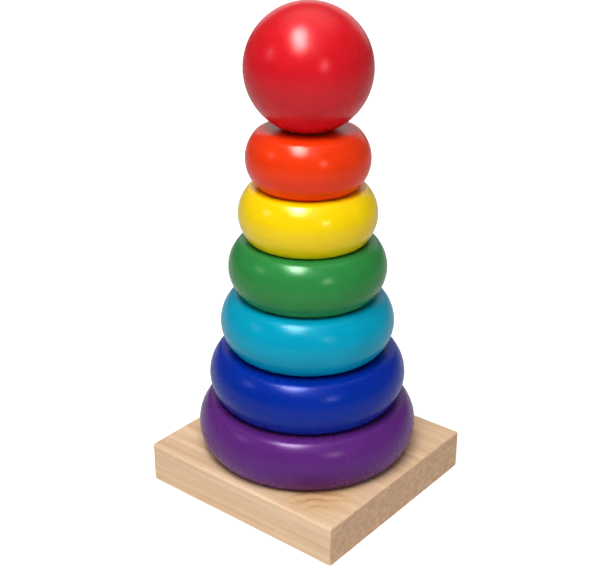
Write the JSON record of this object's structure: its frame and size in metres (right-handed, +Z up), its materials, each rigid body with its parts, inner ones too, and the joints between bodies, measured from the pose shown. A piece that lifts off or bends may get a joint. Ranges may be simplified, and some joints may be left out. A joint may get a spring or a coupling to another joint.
{
  "type": "ring stacking toy",
  "caption": "Rainbow ring stacker: painted wooden rings of falling size and a ball, threaded on a peg that stands on a flat wooden base board.",
  "frame": {"origin": "centre of the base board's underside", "axes": "+Z up along the peg, +X along the board's grain, which is its longer side"},
  "size_m": [0.1106, 0.1052, 0.232],
  "materials": {
    "board_wood": "bare sanded light hardwood, satin",
    "dowel_wood": "bare sanded hardwood dowel",
    "screw_steel": "zinc-plated steel",
    "purple_paint": "wood under satin-gloss purple paint",
    "blue_paint": "wood under satin-gloss blue paint",
    "turquoise_paint": "wood under satin-gloss turquoise paint",
    "green_paint": "wood under satin-gloss green paint",
    "yellow_paint": "wood under satin-gloss yellow paint",
    "orange_paint": "wood under satin-gloss orange paint",
    "red_paint": "wood under satin-gloss red paint"
  },
  "bodies": {
    "stand": {"base_board": "board_wood", "peg": "dowel_wood", "peg_screw": "screw_steel"},
    "purple_ring": {"ring_purple": "purple_paint"},
    "blue_ring": {"ring_blue": "blue_paint"},
    "turquoise_ring": {"ring_turquoise": "turquoise_paint"},
    "green_ring": {"ring_green": "green_paint"},
    "yellow_ring": {"ring_yellow": "yellow_paint"},
    "orange_ring": {"ring_orange": "orange_paint"},
    "ball": {"top_ball": "red_paint"}
  },
  "joints": [
    {"name": "purple_ring_lift", "type": "slide", "parent": "stand", "child": "purple_ring", "axis": [0, 0, 1], "range_m": [0, 0.19]},
    {"name": "blue_ring_lift", "type": "slide", "parent": "purple_ring", "child": "blue_ring", "axis": [0, 0, 1], "range_m": [0, 0.164]},
    {"name": "turquoise_ring_lift", "type": "slide", "parent": "blue_ring", "child": "turquoise_ring", "axis": [0, 0, 1], "range_m": [0, 0.138]},
    {"name": "green_ring_lift", "type": "slide", "parent": "turquoise_ring", "child": "green_ring", "axis": [0, 0, 1], "range_m": [0, 0.11]},
    {"name": "yellow_ring_lift", "type": "slide", "parent": "green_ring", "child": "yellow_ring", "axis": [0, 0, 1], "range_m": [0, 0.084]},
    {"name": "orange_ring_lift", "type": "slide", "parent": "yellow_ring", "child": "orange_ring", "axis": [0, 0, 1], "range_m": [0, 0.059]},
    {"name": "ball_lift", "type": "slide", "parent": "orange_ring", "child": "ball", "axis": [0, 0, 1], "range_m": [0, 0.033]}
  ]
}
